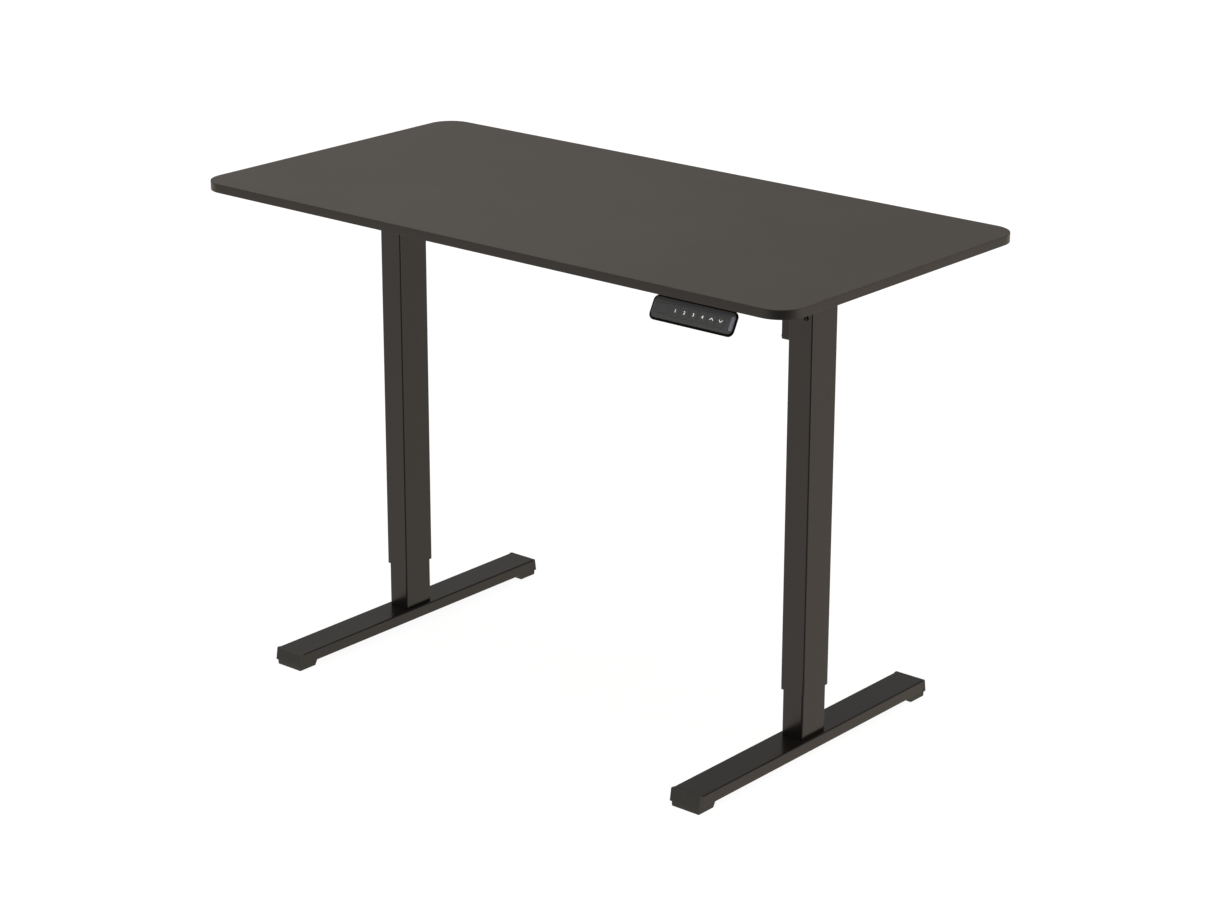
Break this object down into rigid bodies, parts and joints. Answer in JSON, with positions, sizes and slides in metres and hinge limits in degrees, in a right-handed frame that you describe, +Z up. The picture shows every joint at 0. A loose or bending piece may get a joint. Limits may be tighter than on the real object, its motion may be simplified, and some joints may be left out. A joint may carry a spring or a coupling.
{
  "type": "height adjustable standing desk",
  "caption": "Electric standing desk: rectangular dark top with rounded corners on two telescopic columns with long flat feet, and a push-button handset under the front edge.",
  "frame": {"origin": "on the floor, under the middle of the desktop", "axes": "+X to the right of someone sitting at the desk, -Y towards that person (the front edge), +Z up"},
  "size_m": [1.2, 0.611, 0.817],
  "materials": {
    "laminate": "dark grey-brown matt laminate with a fine texture",
    "powder_coat": "black-brown powder coat, satin, fine grain",
    "black_plastic": "moulded black plastic, fine texture",
    "grey_plastic": "dark grey satin plastic",
    "pale_plastic": "pale grey-lilac plastic",
    "display_window": "grey window that is dark until lit",
    "circuit_board": "green solder mask",
    "glide_plastic": "natural acetal",
    "steel": "turned or milled steel, lightly oiled",
    "black_screw": "blackened steel, satin",
    "die_cast": "die-cast alloy, as cast",
    "cable_jacket": "black flexible jacket"
  },
  "bodies": {
    "left_leg_base": {"left_foot_beam": "powder_coat", "left_front_foot_cap": "black_plastic", "left_rear_foot_cap": "black_plastic", "left_front_foot_bolt": "black_screw", "left_rear_foot_bolt": "black_screw", "left_leg_insert": "steel", "left_inner_tube": "powder_coat", "left_spindle_nut": "glide_plastic"},
    "upper_frame": {"desktop": "laminate", "front_rail": "powder_coat", "rear_rail": "powder_coat", "gear_housing": "black_plastic", "motor_can": "black_screw", "control_box_case": "black_plastic", "control_board": "circuit_board", "mains_inlet": "black_plastic", "motor_lead": "cable_jacket", "handset_lead": "cable_jacket", "handset_case": "black_plastic", "handset_panel": "grey_plastic", "handset_display": "display_window", "handset_insert": "pale_plastic", "handset_board": "circuit_board", "left_outer_tube": "powder_coat", "left_glide_collar": "glide_plastic", "left_gearbox_housing": "die_cast", "left_spindle_bearing": "steel", "left_gearbox_screw_inner": "black_screw", "left_gearbox_screw_outer": "black_screw", "left_side_bracket": "powder_coat", "right_outer_tube": "powder_coat", "right_glide_collar": "glide_plastic", "right_gearbox_housing": "die_cast", "right_spindle_bearing": "steel", "right_gearbox_screw_inner": "black_screw", "right_gearbox_screw_outer": "black_screw", "right_side_bracket": "powder_coat"},
    "right_leg_base": {"right_foot_beam": "powder_coat", "right_front_foot_cap": "black_plastic", "right_rear_foot_cap": "black_plastic", "right_front_foot_bolt": "black_screw", "right_rear_foot_bolt": "black_screw", "right_leg_insert": "steel", "right_inner_tube": "powder_coat", "right_spindle_nut": "glide_plastic"},
    "left_spindle_drive": {"left_spindle": "steel", "left_spindle_bevel": "steel"},
    "right_spindle_drive": {"right_spindle": "steel", "right_spindle_bevel": "steel"},
    "cross_shaft_drive": {"cross_shaft": "steel", "left_shaft_bevel": "steel", "right_shaft_bevel": "steel", "shaft_gear": "glide_plastic"},
    "motor_pinion_drive": {"motor_pinion": "steel"},
    "key_1": {"handset_key_1": "grey_plastic"},
    "key_2": {"handset_key_2": "grey_plastic"},
    "key_3": {"handset_key_3": "grey_plastic"},
    "key_4": {"handset_key_4": "grey_plastic"},
    "key_5": {"handset_key_5": "grey_plastic"},
    "key_6": {"handset_key_6": "grey_plastic"}
  },
  "joints": [
    {"name": "lift", "type": "slide", "parent": "left_leg_base", "child": "upper_frame", "axis": [0, 0, 1], "range_m": [-0.07, 0.36]},
    {"name": "right_leg_extension", "type": "slide", "parent": "upper_frame", "child": "right_leg_base", "axis": [0, 0, -1], "range_m": [-0.07, 0.36]},
    {"name": "left_spindle_turn", "type": "hinge", "parent": "upper_frame", "child": "left_spindle_drive", "pos_m": [-0.428, 0, 0.745], "axis": [0, 0, 1], "continuous": true},
    {"name": "right_spindle_turn", "type": "hinge", "parent": "upper_frame", "child": "right_spindle_drive", "pos_m": [0.428, 0, 0.745], "axis": [0, 0, 1], "continuous": true},
    {"name": "cross_shaft_turn", "type": "hinge", "parent": "upper_frame", "child": "cross_shaft_drive", "pos_m": [0, 0, 0.745], "axis": [1, 0, 0], "continuous": true},
    {"name": "motor_pinion_turn", "type": "hinge", "parent": "upper_frame", "child": "motor_pinion_drive", "pos_m": [0.3935, 0, 0.7175], "axis": [1, 0, 0], "continuous": true},
    {"name": "key_1_press", "type": "slide", "parent": "upper_frame", "child": "key_1", "axis": [0, 0.8805, -0.4741], "range_m": [0, 0.0005], "stiffness_N_per_m": 1500, "springref_m": -0.0004},
    {"name": "key_2_press", "type": "slide", "parent": "upper_frame", "child": "key_2", "axis": [0, 0.8805, -0.4741], "range_m": [0, 0.0005], "stiffness_N_per_m": 1500, "springref_m": -0.0004},
    {"name": "key_3_press", "type": "slide", "parent": "upper_frame", "child": "key_3", "axis": [0, 0.8805, -0.4741], "range_m": [0, 0.0005], "stiffness_N_per_m": 1500, "springref_m": -0.0004},
    {"name": "key_4_press", "type": "slide", "parent": "upper_frame", "child": "key_4", "axis": [0, 0.8805, -0.4741], "range_m": [0, 0.0005], "stiffness_N_per_m": 1500, "springref_m": -0.0004},
    {"name": "key_5_press", "type": "slide", "parent": "upper_frame", "child": "key_5", "axis": [0, 0.8805, -0.4741], "range_m": [0, 0.0005], "stiffness_N_per_m": 1500, "springref_m": -0.0004},
    {"name": "key_6_press", "type": "slide", "parent": "upper_frame", "child": "key_6", "axis": [0, 0.8805, -0.4741], "range_m": [0, 0.0005], "stiffness_N_per_m": 1500, "springref_m": -0.0004}
  ],
  "couplings": [
    {"joint": "right_leg_extension", "follows": "lift", "ratio": 1},
    {"joint": "left_spindle_turn", "follows": "lift", "rad_per_m": 1047.2},
    {"joint": "right_spindle_turn", "follows": "lift", "rad_per_m": -1047.2},
    {"joint": "cross_shaft_turn", "follows": "lift", "rad_per_m": 1047.2},
    {"joint": "motor_pinion_turn", "follows": "lift", "rad_per_m": -2792.5}
  ]
}
